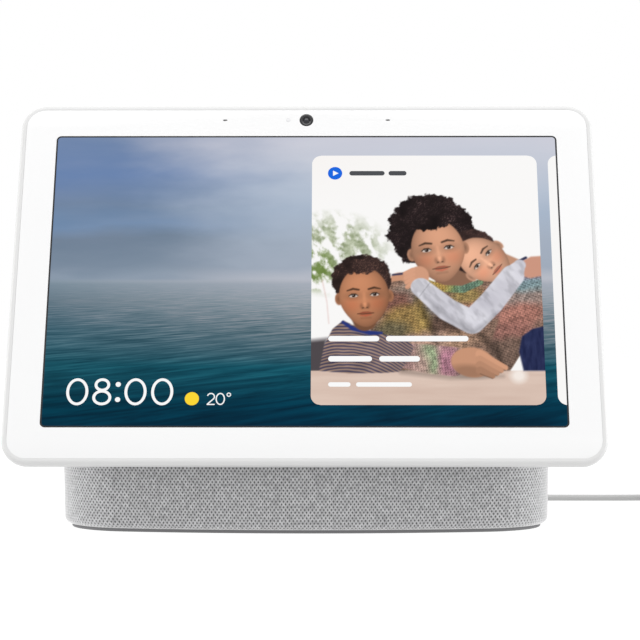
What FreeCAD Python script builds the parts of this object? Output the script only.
import FreeCAD, Part
import math
import os

# Smart display: a tilted touch display on an oval, fabric-covered speaker base. Millimetres.
# World frame: +X to the viewer's right, +Y away from the viewer, +Z up, origin on the surface
# that it stands on, below the middle of the object.
# Slab frame: +X along the display, +Y up its face, depth measured back from the glass.

Vector = FreeCAD.Vector

# ---- driving dimensions ----
OVERALL_WIDTH = 250.1
OVERALL_HEIGHT = 183.4
OVERALL_DEPTH = 101.2
TILT = 24.2                      # the face leans back from upright, degrees
SLAB_HEIGHT = 168.2              # along the face
SLAB_DEPTH = 12.4
SLAB_CORNER = 11.0
LIP_WIDTH = 2.3                  # housing rim seen around the glass
LIP_ROUND = 1.6
BACK_ROUND = 10.6
BACK_WALL = 1.8
SCREEN_WIDTH = 218.6             # dark outline of the picture
SCREEN_HEIGHT = 136.9
LOWER_BEZEL = 13.7
GLASS_THICKNESS = 1.2
BASE_WIDTH = 210.0
BASE_FRONT = -33.5               # Y of the sleeve's front line
BASE_REAR = 51.0                 # Y of the sleeve's rear line at the bottom
BASE_LEAN = -0.35                # the rear wall moves forward this much for each mm up
BASE_BOTTOM = 1.4                # the sleeve's hem starts here, on top of the foot pad
BASE_TOP = 130.0                 # the leaning oval runs up to here before the slab cuts it off
BASE_END_SHARE = 0.83            # end radius of the oval over its half depth
BASE_EDGE_ROUND = 3.0
ROUNDING_STEPS = 4               # sections in the quarter turn of the base's lower edge
SLEEVE_THICKNESS = 1.2
CABINET_WALL = 2.6
PLATE_THICKNESS = 3.0
BOARD_THICKNESS = 1.0
FIT_GAP = 0.1                    # radial room around screws in their holes
CORD_RADIUS = 1.55
JACK_HEIGHT = 12.6
WOOFER_HEIGHT = 60.0
WOOFER_SCREW_CIRCLE = 35.3
TWEETER_OFFSET = 62.0
TWEETER_HEIGHT = 21.0
TWEETER_LEAN = 8.6               # each tweeter turns outward this much, degrees
TWEETER_SAG = 4.2                # the oval's front has fallen back this much where they sit
MICROPHONES = (-35.7, 35.7)
LIGHT_SENSOR_X = -8.0
SMALL_SCREW = 1.0                # shank radii of the four kinds of screw
BASE_SCREW = 1.5
STAND_SCREW = 2.0
LEAD_RADIUS = 0.8                # wires inside the base
FLEX_THICKNESS = 0.2
JACK_OPENING = 6.2               # radius of the hole in the base's rear wall
PLUG_RADIUS = 4.7
ADAPTER_SIZE = (52.0, 52.0, 28.0)
RELIEF_LENGTH = 20.0             # of the adapter's strain relief
PRONG_SIZE = (1.5, 17.0, 6.3)
PRONG_SPACING = 12.7

# ---- worked out from them ----
SIN_TILT = math.sin(math.radians(TILT))
COS_TILT = math.cos(math.radians(TILT))
LIP_LOSS = LIP_ROUND * (SIN_TILT + COS_TILT - 1.0)
SLAB_Y = -OVERALL_DEPTH / 2 - LIP_LOSS
SLAB_Z = OVERALL_HEIGHT - SLAB_HEIGHT * COS_TILT + LIP_LOSS
CAVITY_DEPTH = SLAB_DEPTH - BACK_WALL
CAVITY_CORNER = SLAB_CORNER - LIP_WIDTH
CAVITY_ROUND = CAVITY_CORNER - 0.3
SCREEN_BOTTOM = LIP_WIDTH + LOWER_BEZEL
SCREEN_TOP = SCREEN_BOTTOM + SCREEN_HEIGHT
SENSOR_LINE = SCREEN_TOP + 7.9   # camera, light sensor and microphones sit on this line
PANEL_MARGIN = 1.2
TRAY_BACK = 4.9
RIM_BACK = 4.2
BOARD_FRONT = 6.1
BOARD_BACK = BOARD_FRONT + BOARD_THICKNESS
CABINET_INSET = SLEEVE_THICKNESS + CABINET_WALL
CABINET_BOTTOM = BASE_BOTTOM + SLEEVE_THICKNESS
CABINET_EDGE_ROUND = BASE_EDGE_ROUND - SLEEVE_THICKNESS
FOOT_HEIGHT = BASE_BOTTOM
TOP_WALL_BACK = SLAB_DEPTH + 3.0
PLATE_TOP = FOOT_HEIGHT + PLATE_THICKNESS
GASKET_TOP = PLATE_TOP + 1.0
LEAN_ANGLE = math.degrees(math.atan(-BASE_LEAN))
FRAME_SCREW_X = OVERALL_WIDTH / 2 - 8.5
FRAME_SCREW_ENDS = (12.0, SLAB_HEIGHT / 2, SLAB_HEIGHT - 12.0)
BOARD_SIZE = (124.0, 62.0)
BOARD_BOTTOM = 80.0
STAND_SCREWS = [(x, y) for x in (-38.0, 38.0) for y in (34.0, 66.0)]
RIBBON_SPAN = (20.0, 32.0)
RIBBON_SLOT_Y = 52.0
PANEL_RIBBON_SPAN = (-40.0, -12.0)
ROCKER_X = 107.0
ROCKER_Y = 126.0
ROCKER_SIZE = (7.0, 26.0)
ROCKER_PIVOT_DEPTH = 9.7
SLIDER_Y = 148.0
SLIDER_TRAVEL = 2.4
AMP_BOARD_BOTTOM = 6.4
AMP_BOARD_TOP = AMP_BOARD_BOTTOM + 1.4
AMP_SCREWS = [(x, y) for x in (-30.0, 30.0) for y in (12.0, 36.0)]
BASE_SCREW_SIDE = ((36.0, -25.0), (95.0, 8.5), (50.0, 35.0))
BASE_SCREWS = [(side * x, y) for side in (-1, 1) for x, y in BASE_SCREW_SIDE]
COIL_CENTRE = Vector(192.0, 115.0, 0.0)
COIL_TURN_RADIUS = 22.6          # outermost turn of the put-away lead
COIL_INNER_RADIUS = 12.6
COIL_HEIGHT = 12.9
ADAPTER_FACE = 47.0              # from the end of the coil's last turn to the adapter
TAIL_RISE = 1.6                  # the tail climbs this much to reach it
SWITCH_SCREW_OFFSET = 16.5
SWITCH_OFFSET = 9.0              # the two volume switches sit this far from the rocker's pivot
SLIDER_SCREWS = (-12.5, 15.0)


# ---- shape helpers ----
def block(x_span, y_span, z_span):
    corner = Vector(x_span[0], y_span[0], z_span[0])
    return Part.makeBox(x_span[1] - x_span[0], y_span[1] - y_span[0], z_span[1] - z_span[0], corner)


def rod(radius, start, end):
    return Part.makeCylinder(radius, (end - start).Length, start, end - start)


def fuse(shapes):
    return shapes[0].multiFuse(shapes[1:]).removeSplitter()


def group(shapes):
    return Part.makeCompound(shapes)


def rounded_rectangle(x_span, y_span, radius, z):
    """Closed wire of four lines and four quarter arcs at height z."""
    (x0, x1), (y0, y1) = x_span, y_span
    centres = [(x1 - radius, y0 + radius, -90), (x1 - radius, y1 - radius, 0),
               (x0 + radius, y1 - radius, 90), (x0 + radius, y0 + radius, 180)]
    corners = []
    for cx, cy, start in centres:
        angles = [math.radians(start + step) for step in (0, 45, 90)]
        corners.append([Vector(cx + radius * math.cos(a), cy + radius * math.sin(a), z) for a in angles])
    edges = []
    for here, following in zip(corners, corners[1:] + corners[:1]):
        edges.append(Part.Arc(*here).toShape())
        edges.append(Part.LineSegment(here[2], following[0]).toShape())
    return Part.Wire(edges)


def rounded_block(x_span, y_span, z_span, radius):
    """Block whose upright edges are rounded."""
    outline = Part.Face(rounded_rectangle(x_span, y_span, radius, z_span[0]))
    return outline.extrude(Vector(0, 0, z_span[1] - z_span[0]))


def slab_block(x_span, y_span, depth_span, radius=0.0):
    """Block in the slab frame, between two depths behind the face."""
    z_span = (-depth_span[1], -depth_span[0])
    if radius:
        return rounded_block(x_span, y_span, z_span, radius)
    return block(x_span, y_span, z_span)


def slab_rod(radius, x, y, depth_span):
    return rod(radius, Vector(x, y, -depth_span[1]), Vector(x, y, -depth_span[0]))


def edges_at(shape, z):
    """Edges that lie wholly at height z."""
    return [e for e in shape.Edges
            if abs(e.BoundBox.ZMin - z) < 0.01 and abs(e.BoundBox.ZMax - z) < 0.01]


def in_slab(shape):
    """Move a shape from the slab frame to the world frame."""
    placed = shape.copy()
    turn = FreeCAD.Rotation(Vector(1, 0, 0), 90.0 - TILT)
    placed.Placement = FreeCAD.Placement(Vector(0, SLAB_Y, SLAB_Z), turn).multiply(placed.Placement)
    return placed


def slab_point(x, y, depth):
    return Vector(x, SLAB_Y + y * SIN_TILT + depth * COS_TILT, SLAB_Z + y * COS_TILT - depth * SIN_TILT)


def facing(shape, origin, outward):
    """Move a shape made around +Z so that +Z points outward from origin."""
    placed = shape.copy()
    turn = FreeCAD.Rotation(Vector(0, 0, 1), outward)
    placed.Placement = FreeCAD.Placement(origin, turn).multiply(placed.Placement)
    return placed


def turned(profile):
    """Solid of revolution about Z from (radius, z) points."""
    points = [Vector(r, 0, z) for r, z in profile]
    face = Part.Face(Part.makePolygon(points + points[:1]))
    return face.revolve(Vector(0, 0, 0), Vector(0, 0, 1), 360)


def rounded_path(points):
    """Straight runs joined by tangent arcs, each as large as its two runs allow."""
    edges = []
    radii = []
    start = points[0]
    for before, corner, after in zip(points, points[1:], points[2:]):
        incoming, outgoing = corner - before, after - corner
        half_turn = incoming.getAngle(outgoing) / 2
        reach = 0.45 * min(incoming.Length, outgoing.Length)
        radius = reach / math.tan(half_turn)
        into = corner - incoming.normalize() * reach
        out = corner + outgoing.normalize() * reach
        inward = ((into + out) * 0.5 - corner).normalize()
        middle = corner + inward * (radius / math.cos(half_turn) - radius)
        edges.append(Part.LineSegment(start, into).toShape())
        edges.append(Part.Arc(into, middle, out).toShape())
        radii.append(radius)
        start = out
    edges.append(Part.LineSegment(start, points[-1]).toShape())
    return Part.Wire(edges), radii


def tube(points, radius, name):
    """Round lead along a rounded path; prints its bends and checks its volume."""
    path, radii = rounded_path(points)
    section = Part.Wire(Part.Circle(points[0], points[1] - points[0], radius).toShape())
    solid = path.makePipeShell([section], True, False)
    expected = math.pi * radius ** 2 * path.Length
    print(f"{name}: {path.Length:.1f} mm, bend radii {[round(r, 1) for r in radii]}, "
          f"volume over section times length {solid.Volume / expected:.4f}")
    return solid


def ribbon(points, x_span, thickness):
    """Flat flex whose path lies in the plane across X."""
    path, _ = rounded_path(points)
    run = points[1] - points[0]
    across = Vector(0, -run.z, run.y).normalize() * (thickness / 2)
    left, right = Vector(x_span[0], 0, 0), Vector(x_span[1], 0, 0)
    corners = [points[0] + left + across, points[0] + right + across,
               points[0] + right - across, points[0] + left - across]
    section = Part.makePolygon(corners + corners[:1])
    return path.makePipeShell([section], True, False)


def screw(head_radius, head_height, shank_radius, length):
    """Screw with its head's underside at z = 0, its shank down -Z and a cross recess on top."""
    head = rod(head_radius, Vector(0, 0, 0), Vector(0, 0, head_height))
    shank = rod(shank_radius, Vector(0, 0, -length), Vector(0, 0, 0))
    half_slot, slot_floor = head_radius * 0.6, head_height * 0.45
    thin = head_radius * 0.15
    recess = [block((-half_slot, half_slot), (-thin, thin), (slot_floor, head_height + 1)),
              block((-thin, thin), (-half_slot, half_slot), (slot_floor, head_height + 1))]
    return fuse([head, shank]).cut(fuse(recess))


# ---- outlines ----
def slab_prism(inset, corner, depth_span):
    half = OVERALL_WIDTH / 2 - inset
    return slab_block((-half, half), (inset, SLAB_HEIGHT - inset), depth_span, corner)


def base_rear(z):
    return BASE_REAR + BASE_LEAN * (z - BASE_BOTTOM)


def base_oval(z, inset):
    """Four tangent arcs: the base's outline at height z, moved in by inset."""
    half_depth = (base_rear(z) - BASE_FRONT) / 2
    middle_y = (base_rear(z) + BASE_FRONT) / 2
    end_radius = BASE_END_SHARE * half_depth - inset
    half_depth -= inset
    half_width = BASE_WIDTH / 2 - inset
    end_x = half_width - end_radius
    long_radius = (end_x ** 2 + half_depth ** 2 - end_radius ** 2) / (2 * (half_depth - end_radius))
    rise = long_radius - half_depth
    reach = math.hypot(end_x, rise)
    touch_x, touch_y = long_radius * end_x / reach, long_radius * rise / reach - rise
    left_back = Vector(-touch_x, middle_y + touch_y, z)
    right_back = Vector(touch_x, middle_y + touch_y, z)
    right_front = Vector(touch_x, middle_y - touch_y, z)
    left_front = Vector(-touch_x, middle_y - touch_y, z)
    arcs = [(left_back, Vector(0, middle_y + half_depth, z), right_back),
            (right_back, Vector(half_width, middle_y, z), right_front),
            (right_front, Vector(0, middle_y - half_depth, z), left_front),
            (left_front, Vector(-half_width, middle_y, z), left_back)]
    return Part.Wire([Part.Arc(*arc).toShape() for arc in arcs])


def in_front_of(depth):
    """Everything in front of a plane behind the slab's face, to cut the base along it."""
    reach = 300.0
    return in_slab(slab_block((-reach, reach), (-reach, reach), (-reach, depth)))


def base_form(inset, bottom, cut_depth, edge_round=0.0):
    """The leaning oval of the base with its lower edge rounded, ending at a plane behind the slab's face."""
    wall_bottom = bottom + edge_round
    form = Part.makeLoft([base_oval(wall_bottom, inset), base_oval(BASE_TOP, inset)], True, True)
    if edge_round:
        turns = [math.radians(90 * step / ROUNDING_STEPS) for step in range(ROUNDING_STEPS + 1)]
        sections = [base_oval(wall_bottom - edge_round * math.cos(a), inset + edge_round * (1 - math.sin(a)))
                    for a in turns]
        form = form.fuse(Part.makeLoft(sections, True))
    return form.cut(in_front_of(cut_depth))


def oval_plate(inset, z_span, section_z):
    outline = base_oval(section_z, inset)
    outline.translate(Vector(0, 0, z_span[0] - section_z))
    return Part.Face(outline).extrude(Vector(0, 0, z_span[1] - z_span[0]))


# ---- display unit, in the slab frame ----
def cover_glass():
    glass = slab_prism(LIP_WIDTH + 0.15, CAVITY_CORNER - 0.15, (0, GLASS_THICKNESS))
    glass = glass.makeFillet(0.35, edges_at(glass, 0))
    slots = [slab_block((x - 1.0, x + 1.0), (SENSOR_LINE - 0.35, SENSOR_LINE + 0.35), (-1, 2), 0.34)
             for x in MICROPHONES]
    return glass.cut(group(slots))


def panel_span(margin):
    half = SCREEN_WIDTH / 2 + margin
    return (-half, half), (SCREEN_BOTTOM - margin, SCREEN_TOP + margin)


def lcd_panel():
    return slab_block(*panel_span(PANEL_MARGIN), (GLASS_THICKNESS, 2.6))


def backlight_unit():
    return slab_block(*panel_span(PANEL_MARGIN), (2.6, RIM_BACK))


def panel_ribbon():
    start = SCREEN_BOTTOM - PANEL_MARGIN
    route = [(start, 1.9), (start - 1.9, 1.9), (start - 1.9, 5.5), (BOARD_BOTTOM + 4, 5.5)]
    return ribbon([Vector(0, y, -depth) for y, depth in route], PANEL_RIBBON_SPAN, FLEX_THICKNESS)


def frame_screw_places():
    sides = [(side * FRAME_SCREW_X, y) for side in (-1, 1) for y in FRAME_SCREW_ENDS]
    lower = [(x, SCREEN_BOTTOM / 2 + 1.0) for x in (-60.0, 60.0)]
    upper = [(x, SENSOR_LINE - 0.5) for x in (-60.0, 60.0)]
    return sides + lower + upper


def display_chassis():
    rim = slab_prism(LIP_WIDTH + 0.4, CAVITY_CORNER - 0.4, (GLASS_THICKNESS, RIM_BACK))
    tray = slab_prism(12.0, 4.0, (RIM_BACK, TRAY_BACK))
    standoffs = [slab_rod(2.5, x, y, (TRAY_BACK, BOARD_FRONT)) for x, y in board_screw_places()]
    body = fuse([rim, tray] + standoffs)
    pocket = slab_block(*panel_span(PANEL_MARGIN + 0.3), (0, RIM_BACK))
    sensor_pocket = slab_block((-43, 43), (SCREEN_TOP + 3.1, SLAB_HEIGHT - 3.5), (0, 3.6))
    low, high = PANEL_RIBBON_SPAN
    ribbon_slot = slab_block((low - 2, high + 2), (SCREEN_BOTTOM - 4.2, SCREEN_BOTTOM - 1.0), (0, 6))
    tools = [pocket, sensor_pocket, camera_opening(0, 6), ribbon_slot]
    for x, y in frame_screw_places():
        tools.append(slab_rod(2.3, x, y, (0, 2.8)))
        tools.append(slab_rod(SMALL_SCREW + FIT_GAP, x, y, (0, 6)))
    tools += [slab_rod(SMALL_SCREW + FIT_GAP, x, y, (0, 7)) for x, y in board_screw_places()]
    return body.cut(group(tools))


def display_frame_screws():
    kind = screw(2.0, 1.2, SMALL_SCREW, 5.4)
    return group([kind.translated(Vector(x, y, -2.8)) for x, y in frame_screw_places()])


def rocker_span(gap):
    half_width, half_height = ROCKER_SIZE[0] / 2 + gap, ROCKER_SIZE[1] / 2 + gap
    return (ROCKER_X - half_width, ROCKER_X + half_width), (ROCKER_Y - half_height, ROCKER_Y + half_height)


def slider_slot():
    return slab_block((-4.8, 4.8 + SLIDER_TRAVEL), (SLIDER_Y - 2.4, SLIDER_Y + 2.4),
                      (CAVITY_DEPTH - 1, SLAB_DEPTH + 1), 2.3)


def switch_posts():
    """Where the two small switch boards are screwed to the housing."""
    rocker = [(ROCKER_X, ROCKER_Y + side * SWITCH_SCREW_OFFSET) for side in (-1, 1)]
    slider = [(x, SLIDER_Y) for x in SLIDER_SCREWS]
    return rocker + slider


def rear_housing():
    body = slab_prism(0, SLAB_CORNER, (0, SLAB_DEPTH))
    body = body.makeFillet(BACK_ROUND, edges_at(body, -SLAB_DEPTH))
    body = body.makeFillet(LIP_ROUND, edges_at(body, 0))
    cavity = slab_prism(LIP_WIDTH, CAVITY_CORNER, (-1, CAVITY_DEPTH))
    cavity = cavity.makeFillet(CAVITY_ROUND, edges_at(cavity, -CAVITY_DEPTH))
    shell = body.cut(cavity)
    added = [slab_rod(2.8, x, y, (RIM_BACK, CAVITY_DEPTH + 0.5)) for x, y in frame_screw_places()]
    added += [slab_rod(1.8, x, y, (BOARD_BACK, CAVITY_DEPTH + 0.5)) for x, y in switch_posts()]
    (left, right), _ = rocker_span(0.3)
    ear_y = (ROCKER_Y - 1.8, ROCKER_Y + 1.8)
    added.append(slab_block((left - 1.4, left), ear_y, (ROCKER_PIVOT_DEPTH - 1.6, CAVITY_DEPTH + 0.5)))
    added.append(slab_block((right, right + 1.4), ear_y, (ROCKER_PIVOT_DEPTH - 1.6, CAVITY_DEPTH + 0.5)))
    shell = fuse([shell] + [piece.common(body) for piece in added])
    tools = [slab_block(*rocker_span(0.3), (CAVITY_DEPTH - 3, SLAB_DEPTH + 1), 1.3), slider_slot()]
    tools += [slab_rod(SMALL_SCREW + FIT_GAP / 2, x, y, (0, 8.8)) for x, y in frame_screw_places()]
    tools += [slab_rod(SMALL_SCREW + FIT_GAP / 2, x, y, (0, 9.6)) for x, y in switch_posts()]
    tools += [slab_rod(STAND_SCREW + FIT_GAP, x, y, (0, SLAB_DEPTH + 1)) for x, y in STAND_SCREWS]
    tools.append(ribbon_opening(SLAB_DEPTH + 1))
    pivot = Vector(0, ROCKER_Y, -ROCKER_PIVOT_DEPTH)
    tools.append(rod(0.85, pivot + Vector(left - 3, 0, 0), pivot + Vector(right + 3, 0, 0)))
    return shell.cut(group(tools))


def ribbon_opening(back):
    low, high = RIBBON_SPAN
    return slab_block((low - 2, high + 2), (RIBBON_SLOT_Y - 3, RIBBON_SLOT_Y + 7), (CAVITY_DEPTH - 2, back))


def camera_opening(front, back):
    return slab_block((-3.4, 3.4), (SENSOR_LINE - 3.4, SENSOR_LINE + 3.4), (front, back))


def camera_module():
    body = slab_block((-3.2, 3.2), (SENSOR_LINE - 3.2, SENSOR_LINE + 3.2), (2.0, 5.8), 0.6)
    barrel = slab_rod(3.0, 0, SENSOR_LINE, (GLASS_THICKNESS + 0.05, 2.0))
    bore = slab_rod(1.8, 0, SENSOR_LINE, (0, 3.4))
    return fuse([body, barrel]).cut(bore)


def camera_lens():
    """Plano-convex lens seated in the barrel's bore."""
    sphere = Part.makeSphere(2.6, Vector(0, SENSOR_LINE, -1.7 - 2.6))
    return slab_rod(1.78, 0, SENSOR_LINE, (1.5, 3.0)).common(sphere)


def sensor_flex():
    strip = slab_block((-42, 42), (SENSOR_LINE - 4.5, SENSOR_LINE + 3.7), (3.2, 3.4), 1.0)
    return strip.cut(camera_opening(3, 4))


def microphone_boards():
    boards = []
    for x in MICROPHONES:
        board = slab_block((x - 4, x + 4), (SENSOR_LINE - 3, SENSOR_LINE + 3),
                           (GLASS_THICKNESS + 0.1, 2.1), 0.5)
        can = slab_block((x - 1.9, x + 1.9), (SENSOR_LINE - 1.5, SENSOR_LINE + 1.5), (2.1, 3.2), 0.3)
        port = slab_rod(0.4, x, SENSOR_LINE, (0, 2.3))
        boards.append(fuse([board, can]).cut(port))
    return group(boards)


def ambient_light_sensor():
    body = slab_block((LIGHT_SENSOR_X - 1.4, LIGHT_SENSOR_X + 1.4), (SENSOR_LINE - 1.1, SENSOR_LINE + 1.1),
                      (1.6, 3.2), 0.3)
    window = slab_rod(0.7, LIGHT_SENSOR_X, SENSOR_LINE, (GLASS_THICKNESS + 0.1, 1.6))
    return fuse([body, window])


def board_screw_places():
    half = BOARD_SIZE[0] / 2 - 4
    low, high = BOARD_BOTTOM + 4, BOARD_BOTTOM + BOARD_SIZE[1] - 4
    return [(x, y) for x in (-half, half) for y in (low, high)]


def main_board():
    half = BOARD_SIZE[0] / 2
    board = slab_block((-half, half), (BOARD_BOTTOM, BOARD_BOTTOM + BOARD_SIZE[1]),
                       (BOARD_FRONT, BOARD_BACK), 2.0)
    return board.cut(group([slab_rod(SMALL_SCREW + FIT_GAP, x, y, (5, 8)) for x, y in board_screw_places()]))


def board_components():
    chips = [slab_block((-26, -12), (107, 121), (BOARD_BACK, 8.4)),
             slab_block((-4, 9), (100, 111), (BOARD_BACK, 8.2)),
             slab_block((-4, 9), (116, 127), (BOARD_BACK, 8.2)),
             slab_block((16, 28), (108, 122), (BOARD_BACK, 8.2)),
             slab_block((48, 56), (118, 126), (BOARD_BACK, 8.4))]
    low, high = RIBBON_SPAN
    chips.append(slab_block((low - 1, high + 1), (BOARD_BOTTOM + 2, BOARD_BOTTOM + 6), (BOARD_BACK, 8.0)))
    low, high = PANEL_RIBBON_SPAN
    chips.append(slab_block((low - 1, high + 1), (BOARD_BOTTOM + 1, BOARD_BOTTOM + 5), (5.6, BOARD_FRONT)))
    return group(chips)


def shield_can():
    can = slab_block((-34, 36), (95, 132), (BOARD_BACK, 9.2), 2.0)
    return can.cut(slab_block((-33.7, 35.7), (95.3, 131.7), (BOARD_BACK - 1, 8.9), 1.7))


def thermal_pad():
    return slab_block((-28, 28), (100, 127), (9.2, 9.5), 1.0)


def heat_spreader():
    plate = slab_block((-72, 72), (88, 140), (9.5, 10.2), 3.0)
    ribs = [slab_block((x - 0.6, x + 0.6), (90, 138), (10.2, 10.5)) for x in range(-60, 61, 12)]
    return fuse([plate] + ribs)


def stand_bracket():
    plate = slab_block((-50, 50), (27, 73), (CAVITY_DEPTH - 1.2, CAVITY_DEPTH), 4.0)
    tools = [slab_rod(STAND_SCREW + FIT_GAP, x, y, (5, 12)) for x, y in STAND_SCREWS]
    tools.append(ribbon_opening(SLAB_DEPTH))
    return plate.cut(group(tools))


def stand_screws():
    kind = screw(3.6, 2.0, STAND_SCREW, 14.0)
    return group([kind.translated(Vector(x, y, 1.2 - CAVITY_DEPTH)) for x, y in STAND_SCREWS])


def volume_rocker():
    """Long key on two trunnions, with two feet that press the switches below it."""
    (x0, x1), (y0, y1) = rocker_span(0)
    key = slab_block((x0, x1), (y0, y1), (CAVITY_DEPTH - 1.6, SLAB_DEPTH + 1.0), 1.0)
    key = key.makeFillet(0.6, edges_at(key, -SLAB_DEPTH - 1.0))
    pivot = Vector(0, ROCKER_Y, -ROCKER_PIVOT_DEPTH)
    trunnions = rod(0.8, pivot + Vector(x0 - 1.5, 0, 0), pivot + Vector(x1 + 1.5, 0, 0))
    feet = [slab_rod(1.2, ROCKER_X, ROCKER_Y + side * SWITCH_OFFSET, (8.8, CAVITY_DEPTH)) for side in (-1, 1)]
    return fuse([key, trunnions] + feet)


def rocker_switch_board():
    board = slab_block((ROCKER_X - 5, ROCKER_X + 5), (ROCKER_Y - 18.5, ROCKER_Y + 18.5),
                       (BOARD_FRONT, BOARD_BACK), 1.5)
    holes = [slab_rod(SMALL_SCREW + FIT_GAP, ROCKER_X, ROCKER_Y + side * SWITCH_SCREW_OFFSET, (5, 8))
             for side in (-1, 1)]
    return board.cut(group(holes))


def tact_switches():
    switches = []
    for side in (-1, 1):
        y = ROCKER_Y + side * SWITCH_OFFSET
        body = slab_block((ROCKER_X - 1.9, ROCKER_X + 1.9), (y - 1.9, y + 1.9), (BOARD_BACK, 8.0), 0.4)
        switches.append(fuse([body, slab_rod(0.9, ROCKER_X, y, (8.0, 8.35))]))
    return group(switches)


def mute_slider():
    """Knob in the housing's slot, on a wider flange under the wall, with a peg to the switch."""
    knob = slab_block((-4.5, 4.5), (SLIDER_Y - 2.1, SLIDER_Y + 2.1),
                      (CAVITY_DEPTH - 1, SLAB_DEPTH + 0.7), 2.0)
    knob = knob.makeFillet(0.4, edges_at(knob, -SLAB_DEPTH - 0.7))
    grips = [slab_block((x - 0.25, x + 0.25), (SLIDER_Y - 1.4, SLIDER_Y + 1.4), (SLAB_DEPTH + 0.5, 15))
             for x in (-2.0, -1.0, 0.0, 1.0, 2.0)]
    flange = slab_block((-8, 8), (SLIDER_Y - 3.6, SLIDER_Y + 3.6), (9.4, CAVITY_DEPTH - 0.1), 1.0)
    peg = slab_rod(0.7, 0, SLIDER_Y, (8.3, 9.4))
    return fuse([knob, flange, peg]).cut(group(grips))


def mute_switch_board():
    board = slab_block((-15, 17.5), (SLIDER_Y - 3.2, SLIDER_Y + 3.2), (BOARD_FRONT, BOARD_BACK), 1.5)
    holes = [slab_rod(SMALL_SCREW + FIT_GAP, x, SLIDER_Y, (5, 8)) for x in SLIDER_SCREWS]
    return board.cut(group(holes))


def mute_switch():
    body = slab_block((-5, 5 + SLIDER_TRAVEL), (SLIDER_Y - 2, SLIDER_Y + 2), (BOARD_BACK, 9.0), 0.4)
    return body.cut(slab_block((-1, 1 + SLIDER_TRAVEL), (SLIDER_Y - 0.9, SLIDER_Y + 0.9), (8.1, 10)))


def antennas():
    boards = []
    for side in (-1, 1):
        x = side * 90.0
        board = slab_block((x - 15, x + 15), (146, 154), (CAVITY_DEPTH - 0.9, CAVITY_DEPTH - 0.1), 1.0)
        feed = slab_block((x - 3, x + 1), (148, 152), (CAVITY_DEPTH - 2.2, CAVITY_DEPTH - 0.9))
        boards.append(fuse([board, feed]))
    return group(boards)


def board_screws():
    kind = screw(1.8, 1.1, SMALL_SCREW, 2.6)
    from_back = kind.rotated(Vector(0, 0, 0), Vector(1, 0, 0), 180)
    screws = [in_slab(from_back.translated(Vector(x, y, -BOARD_BACK))) for x, y in board_screw_places()]
    screws += [in_slab(kind.translated(Vector(x, y, -BOARD_FRONT))) for x, y in switch_posts()]
    screws += [kind.translated(Vector(x, y, AMP_BOARD_TOP)) for x, y in AMP_SCREWS]
    return group(screws)


# ---- woofer, made around +Z: z = 0 is the cabinet's outer surface, -z goes in ----
def woofer_place(shape):
    outward = Vector(0, math.cos(math.radians(LEAN_ANGLE)), math.sin(math.radians(LEAN_ANGLE)))
    origin = Vector(0, base_rear(WOOFER_HEIGHT) - SLEEVE_THICKNESS, WOOFER_HEIGHT)
    return facing(shape, origin, outward)


def woofer_screw_places():
    turns = [math.radians(angle) for angle in (45, 135, 225, 315)]
    return [(WOOFER_SCREW_CIRCLE * math.cos(a), WOOFER_SCREW_CIRCLE * math.sin(a)) for a in turns]


def woofer_basket():
    basket = turned([(31.6, -4.0), (37.6, -4.0), (37.6, -5.5), (32.4, -5.5), (19.6, -22.0), (10.4, -22.0),
                     (10.4, -20.6), (18.4, -20.6), (29.8, -6.2), (29.8, -4.8), (31.6, -4.8)])
    windows = []
    for turn in range(0, 360, 45):
        direction = Vector(math.cos(math.radians(turn)), math.sin(math.radians(turn)), 0)
        windows.append(rod(4.2, Vector(0, 0, -13.0) + direction * 16, Vector(0, 0, -13.0) + direction * 40))
    holes = [rod(SMALL_SCREW + FIT_GAP, Vector(x, y, -8), Vector(x, y, 0)) for x, y in woofer_screw_places()]
    return basket.cut(group(windows + holes))


def woofer_ring():
    """Solid land in the cabinet's rear wall that carries the basket's flange."""
    return rod(40.5, Vector(0, 0, -10.0), Vector(0, 0, 4.0))


def woofer_ring_tools():
    pocket = rod(38.0, Vector(0, 0, -5.5), Vector(0, 0, 20))
    bore = rod(33.0, Vector(0, 0, -25), Vector(0, 0, 0))
    holes = [rod(SMALL_SCREW + FIT_GAP / 2, Vector(x, y, -9), Vector(x, y, 0))
             for x, y in woofer_screw_places()]
    return group([pocket, bore] + holes)


def woofer_screws():
    kind = screw(1.8, 1.1, SMALL_SCREW, 4.6)
    return group([kind.translated(Vector(x, y, -4.0)) for x, y in woofer_screw_places()])


def woofer_top_plate():
    return turned([(9.7, -22.0), (18.0, -22.0), (18.0, -25.0), (9.7, -25.0)])


def woofer_magnet():
    return turned([(11.5, -25.0), (19.0, -25.0), (19.0, -33.0), (11.5, -33.0)])


def woofer_yoke():
    return turned([(0, -21.5), (7.6, -21.5), (7.6, -33.0), (18.0, -33.0), (18.0, -36.0), (0, -36.0)])


def voice_coil():
    former = turned([(8.4, -13.6), (8.8, -13.6), (8.8, -26.5), (8.4, -26.5)])
    winding = turned([(8.8, -21.4), (9.2, -21.4), (9.2, -26.0), (8.8, -26.0)])
    return fuse([former, winding])


def woofer_cone():
    return turned([(25.5, -4.9), (26.2, -4.9), (26.2, -5.6), (8.9, -15.0), (8.9, -13.6), (10.4, -13.3)])


def dust_cap():
    outer = Part.makeSphere(14.0, Vector(0, 0, -22.8))
    inner = Part.makeSphere(13.6, Vector(0, 0, -22.8))
    return outer.cut(inner).common(rod(10.3, Vector(0, 0, -13.1), Vector(0, 0, 0)))


def woofer_surround():
    """Half-roll of rubber between the cone's edge and the basket's flange."""
    return turned([(26.3, -4.9), (26.9, -3.3), (28.2, -2.6), (29.5, -3.3), (30.1, -4.2), (31.4, -4.2),
                   (31.4, -4.75), (29.85, -4.75), (29.1, -3.9), (28.2, -3.3), (27.3, -3.9), (26.8, -5.5),
                   (26.3, -5.5)])


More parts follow.
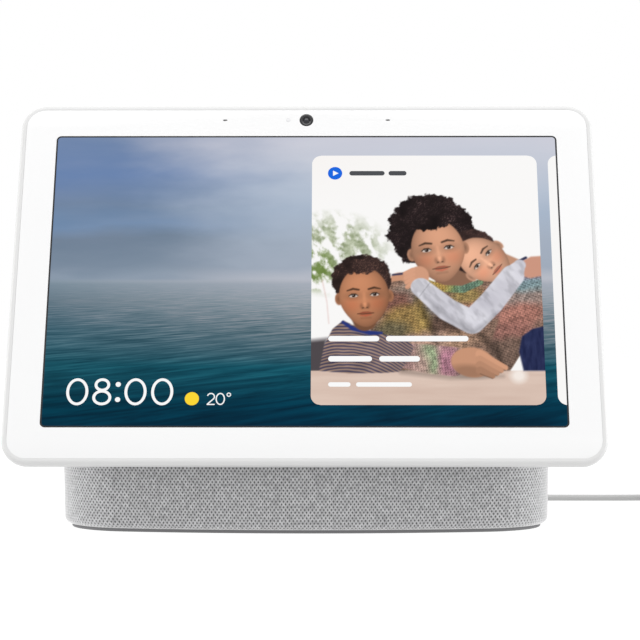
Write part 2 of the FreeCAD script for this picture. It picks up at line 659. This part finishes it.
def woofer_spider():
    """Corrugated disc that centres the coil, clear of the cone and the winding at both ends of the stroke."""
    middle, wave, pitch = -17.6, 0.45, 1.09
    top = [(9.0 + i * pitch, middle + (wave if i % 2 else -wave)) for i in range(11)]
    bottom = [(r, z - 0.5) for r, z in reversed(top)]
    return turned(top + bottom)


# ---- tweeters, made around +Z: z = 0 is the cabinet's outer surface ----
def tweeter_place(shape, side):
    lean = math.radians(TWEETER_LEAN)
    outward = Vector(side * math.sin(lean), -math.cos(lean), 0)
    origin = Vector(side * TWEETER_OFFSET, BASE_FRONT + SLEEVE_THICKNESS + TWEETER_SAG, TWEETER_HEIGHT)
    return facing(shape, origin, outward)


def tweeter_ring():
    return rod(13.0, Vector(0, 0, -6.0), Vector(0, 0, 4.0))


def tweeter_bore():
    return rod(10.1, Vector(0, 0, -30.0), Vector(0, 0, 5.0))


def tweeter_body():
    return turned([(8.4, -1.2), (9.9, -1.2), (9.9, -6.0), (12.6, -6.0), (12.6, -7.5), (9.9, -7.5),
                   (9.9, -14.0), (0, -14.0), (0, -6.5), (8.4, -6.5)])


def tweeter_dome():
    outer = Part.makeSphere(9.0, Vector(0, 0, -10.6))
    inner = Part.makeSphere(8.6, Vector(0, 0, -10.6))
    return outer.cut(inner).common(rod(7.9, Vector(0, 0, -5.4), Vector(0, 0, 0)))


# ---- speaker base, in the world frame ----
def jack_opening():
    return rod(JACK_OPENING, Vector(0, BASE_REAR - 25, JACK_HEIGHT), Vector(0, BASE_REAR + 5, JACK_HEIGHT))


def speaker_cabinet():
    outer = base_form(SLEEVE_THICKNESS, CABINET_BOTTOM, SLAB_DEPTH, CABINET_EDGE_ROUND)
    hollow = base_form(CABINET_INSET, BASE_BOTTOM - 1.0, TOP_WALL_BACK)
    ledge = oval_plate(CABINET_INSET - 0.5, (GASKET_TOP, GASKET_TOP + 2.0), GASKET_TOP)
    ledge = ledge.cut(oval_plate(CABINET_INSET + 3.2, (0, 20), GASKET_TOP + 2.0))
    land = woofer_place(woofer_ring())
    rings = [tweeter_place(tweeter_ring(), side) for side in (-1, 1)]
    bosses = [rod(4.2, Vector(x, y, GASKET_TOP), Vector(x, y, 16.0)) for x, y in BASE_SCREWS]
    bosses += [in_slab(slab_rod(4.5, x, y, (SLAB_DEPTH, 26))) for x, y in STAND_SCREWS]
    added = [piece.common(outer) for piece in [ledge, land] + rings + bosses]
    body = outer.cut(hollow)
    for piece in added:
        body = body.fuse(piece)
    tools = [woofer_place(woofer_ring_tools()), in_slab(ribbon_opening(TOP_WALL_BACK + 1))]
    tools += [tweeter_place(tweeter_bore(), side) for side in (-1, 1)]
    tools += [rod(BASE_SCREW + FIT_GAP / 2, Vector(x, y, 0), Vector(x, y, 14.5)) for x, y in BASE_SCREWS]
    tools += [in_slab(slab_rod(STAND_SCREW + FIT_GAP, x, y, (0, 25))) for x, y in STAND_SCREWS]
    tools.append(jack_opening())
    tools.append(block((-7, 7), (25, 43.3), (AMP_BOARD_TOP - 0.2, 18.2)))
    return body.cut(group(tools))


def fabric_sleeve():
    """Knitted sock stretched over the cabinet, with its hem turned in below the cabinet's wall."""
    outer = base_form(0, BASE_BOTTOM, SLAB_DEPTH + 0.35, BASE_EDGE_ROUND)
    inner = base_form(SLEEVE_THICKNESS, CABINET_BOTTOM, SLAB_DEPTH - 5, CABINET_EDGE_ROUND)
    hem_opening = oval_plate(CABINET_INSET + 0.2, (BASE_BOTTOM - 1, PLATE_TOP), PLATE_TOP)
    return outer.cut(inner).cut(hem_opening).cut(jack_opening())


def base_plate():
    plate = oval_plate(CABINET_INSET + 0.3, (FOOT_HEIGHT, PLATE_TOP), PLATE_TOP)
    standoffs = [rod(3.0, Vector(x, y, PLATE_TOP - 0.5), Vector(x, y, AMP_BOARD_BOTTOM))
                 for x, y in AMP_SCREWS]
    body = fuse([plate] + standoffs)
    tools = [rod(SMALL_SCREW + FIT_GAP / 2, Vector(x, y, 4.0), Vector(x, y, 9)) for x, y in AMP_SCREWS]
    for x, y in BASE_SCREWS:
        tools.append(rod(3.2, Vector(x, y, 0), Vector(x, y, FOOT_HEIGHT + 1.8)))
        tools.append(rod(BASE_SCREW + FIT_GAP * 1.5, Vector(x, y, 0), Vector(x, y, 9)))
    return body.cut(group(tools))


def base_gasket():
    ring = oval_plate(CABINET_INSET + 0.5, (PLATE_TOP, GASKET_TOP), GASKET_TOP)
    ring = ring.cut(oval_plate(CABINET_INSET + 2.8, (0, 20), GASKET_TOP))
    holes = [rod(BASE_SCREW + FIT_GAP * 2, Vector(x, y, 0), Vector(x, y, 20)) for x, y in BASE_SCREWS]
    return ring.cut(group(holes))


def base_screws():
    kind = screw(2.8, 1.5, BASE_SCREW, 10.0).rotated(Vector(0, 0, 0), Vector(1, 0, 0), 180)
    return group([kind.translated(Vector(x, y, FOOT_HEIGHT + 1.8)) for x, y in BASE_SCREWS])


def foot_pad():
    pad = oval_plate(BASE_EDGE_ROUND + 0.1, (0, FOOT_HEIGHT), BASE_BOTTOM)
    pad = pad.makeFillet(0.5, edges_at(pad, 0))
    hollow = oval_plate(CABINET_INSET + 15.0, (-1, 0.4), PLATE_TOP)
    return pad.cut(hollow)


def amplifier_board():
    board = rounded_block((-34, 34), (7, 40.1), (AMP_BOARD_BOTTOM, AMP_BOARD_TOP), 2.0)
    holes = [rod(SMALL_SCREW + FIT_GAP, Vector(x, y, 0), Vector(x, y, 20)) for x, y in AMP_SCREWS]
    capacitors = [rod(3.2, Vector(x, 30, AMP_BOARD_TOP), Vector(x, 30, AMP_BOARD_TOP + 7)) for x in (-20, 14)]
    coil = rounded_block((-16, -8), (12, 20), (AMP_BOARD_TOP, AMP_BOARD_TOP + 4), 1.0)
    socket = block((19, 33), (15.5, 19.5), (AMP_BOARD_TOP, AMP_BOARD_TOP + 1.2))
    return fuse([board] + capacitors + [coil, socket]).cut(group(holes))


def dc_jack():
    body = block((-6, 6), (31, 43), (AMP_BOARD_TOP, JACK_HEIGHT + 4.6))
    nozzle = rod(4.6, Vector(0, 42, JACK_HEIGHT), Vector(0, 46.4, JACK_HEIGHT))
    bore = rod(2.95, Vector(0, 35, JACK_HEIGHT), Vector(0, 50, JACK_HEIGHT))
    pin = rod(0.9, Vector(0, 34, JACK_HEIGHT), Vector(0, 44, JACK_HEIGHT))
    return fuse([fuse([body, nozzle]).cut(bore), pin])


def jack_bezel():
    ring = rod(6.1, Vector(0, 43.4, JACK_HEIGHT), Vector(0, 47.6, JACK_HEIGHT))
    ring = ring.makeFillet(0.5, [e for e in ring.Edges if e.BoundBox.YMin > 47.5])
    return ring.cut(rod(4.75, Vector(0, 40, JACK_HEIGHT), Vector(0, 50, JACK_HEIGHT)))


def base_ribbon():
    low_end = Vector(0, 17.5, AMP_BOARD_TOP + 1.3)
    route = [slab_point(0, BOARD_BOTTOM + 4, 8.1), slab_point(0, RIBBON_SLOT_Y, 8.1),
             slab_point(0, RIBBON_SLOT_Y, 24.0), Vector(0, -6.5, AMP_BOARD_TOP + 1.3), low_end]
    return ribbon(route, RIBBON_SPAN, FLEX_THICKNESS)


def speaker_leads():
    """Wires from the amplifier board to the woofer and to both tweeters."""
    leads = [tube([Vector(-21.8, 8.2, 52.2), Vector(-24.5, 4.0, 44.0), Vector(-27.0, 2.0, 30.0),
                   Vector(-26.0, 6.0, 17.0), Vector(-25.0, 11.0, 8.9)], LEAD_RADIUS, "woofer lead")]
    for side, socket_y in ((-1, 13.5), (1, 23.0)):
        points = [Vector(side * 59.8, -13.8, 21.0), Vector(side * 57.0, -5.0, 20.5),
                  Vector(side * 49.0, 4.0, 16.0), Vector(side * 41.0, 10.0, 10.5),
                  Vector(side * 32.5, socket_y, 8.7)]
        leads.append(tube(points, LEAD_RADIUS, "tweeter lead"))
    return group(leads)


# ---- power lead ----
def dc_plug_barrel():
    sleeve = rod(2.75, Vector(0, 37.0, JACK_HEIGHT), Vector(0, 48.0, JACK_HEIGHT))
    return sleeve.cut(rod(1.15, Vector(0, 36.0, JACK_HEIGHT), Vector(0, 47.0, JACK_HEIGHT)))


def dc_plug_body():
    """Moulded grip that tapers into the strain relief."""
    axis_start = Vector(0, 48.0, JACK_HEIGHT)
    grip = rod(PLUG_RADIUS, axis_start, axis_start + Vector(0, 16.0, 0))
    grip = grip.makeFillet(1.0, [e for e in grip.Edges if isinstance(e.Curve, Part.Circle)])
    relief = Part.makeCone(3.6, 2.3, 25.0, axis_start + Vector(0, 15.0, 0), Vector(0, 1, 0))
    return fuse([grip, relief])


def power_cord():
    exit_y = 88.0
    lying = CORD_RADIUS + 0.02
    end = COIL_CENTRE + Vector(0, COIL_TURN_RADIUS, lying)
    points = [Vector(0, exit_y, JACK_HEIGHT), Vector(0, 100, JACK_HEIGHT), Vector(3, 114, 8.8),
              Vector(11.5, 127, 3.9), Vector(27, 136, lying), Vector(51, 138.6, lying),
              Vector(79, 137.3, lying), Vector(107, 137.9, lying), Vector(135, 137.4, lying),
              Vector(163.5, 137.8, lying), end]
    return tube(points, CORD_RADIUS, "power cord")


def power_cord_coil():
    outer = rod(COIL_TURN_RADIUS + CORD_RADIUS + 0.15, COIL_CENTRE, COIL_CENTRE + Vector(0, 0, COIL_HEIGHT))
    hole = rod(COIL_INNER_RADIUS, COIL_CENTRE - Vector(0, 0, 1), COIL_CENTRE + Vector(0, 0, COIL_HEIGHT + 1))
    return outer.cut(hole)


def tail_start():
    return COIL_CENTRE + Vector(COIL_TURN_RADIUS, 0, COIL_HEIGHT - CORD_RADIUS)


def power_cord_tail():
    start = tail_start()
    points = [start, start + Vector(0.5, -9.0, -0.2), start + Vector(0, -18.0, TAIL_RISE),
              start + Vector(0, RELIEF_LENGTH - ADAPTER_FACE, TAIL_RISE)]
    return tube(points, CORD_RADIUS, "cord tail")


def adapter_inlet():
    """Where the tail's strain relief leaves the adapter."""
    return tail_start() + Vector(0, -ADAPTER_FACE, TAIL_RISE)


def adapter_strain_relief():
    return Part.makeCone(3.4, 2.2, RELIEF_LENGTH, adapter_inlet(), Vector(0, 1, 0))


def adapter_case():
    inlet = adapter_inlet()
    width, length, height = ADAPTER_SIZE
    x_span = (inlet.x - width / 2, inlet.x + width / 2)
    case = rounded_block(x_span, (inlet.y - length, inlet.y), (0, height), 9.0)
    rims = edges_at(case, 0) + edges_at(case, height)
    return case.makeFillet(3.0, rims)


def adapter_prongs():
    face = adapter_inlet() - Vector(0, ADAPTER_SIZE[1], 0)
    thickness, length, height = PRONG_SIZE
    prongs = []
    for side in (-1, 1):
        x = face.x + side * PRONG_SPACING / 2
        prongs.append(block((x - thickness / 2, x + thickness / 2), (face.y - length, face.y),
                            (face.z - height / 2, face.z + height / 2)))
    return group(prongs)


SLAB_NODES = [
    cover_glass, lcd_panel, backlight_unit, panel_ribbon, display_chassis, display_frame_screws, rear_housing,
    camera_module, camera_lens, sensor_flex, microphone_boards, ambient_light_sensor, main_board,
    board_components, shield_can, thermal_pad, heat_spreader, antennas, volume_rocker, rocker_switch_board,
    tact_switches, mute_slider, mute_switch_board, mute_switch, stand_bracket, stand_screws]
WORLD_NODES = [
    board_screws, base_ribbon, speaker_cabinet, base_plate, base_gasket, base_screws, foot_pad, fabric_sleeve,
    amplifier_board, dc_jack, jack_bezel, speaker_leads, dc_plug_barrel, dc_plug_body, power_cord,
    power_cord_coil, power_cord_tail, adapter_case, adapter_prongs, adapter_strain_relief]
WOOFER_NODES = [
    woofer_basket, woofer_screws, woofer_top_plate, woofer_magnet, woofer_yoke, voice_coil, woofer_cone,
    dust_cap, woofer_surround, woofer_spider]


def all_nodes():
    nodes = {make.__name__: in_slab(make()) for make in SLAB_NODES}
    nodes.update({make.__name__: make() for make in WORLD_NODES})
    nodes.update({make.__name__: woofer_place(make()) for make in WOOFER_NODES})
    for word, side in (("left", -1), ("right", 1)):
        nodes[f"tweeter_{word}_body"] = tweeter_place(tweeter_body(), side)
        nodes[f"tweeter_{word}_dome"] = tweeter_place(tweeter_dome(), side)
    return nodes


def main():
    os.makedirs("parts", exist_ok=True)
    for name, shape in all_nodes().items():
        box = shape.BoundBox
        print(f"{name}: {len(shape.Solids)} solid(s), valid {shape.isValid()}, "
              f"{box.XLength:.1f} x {box.YLength:.1f} x {box.ZLength:.1f}")
        shape.exportStep(f"parts/{name}.step")


main()
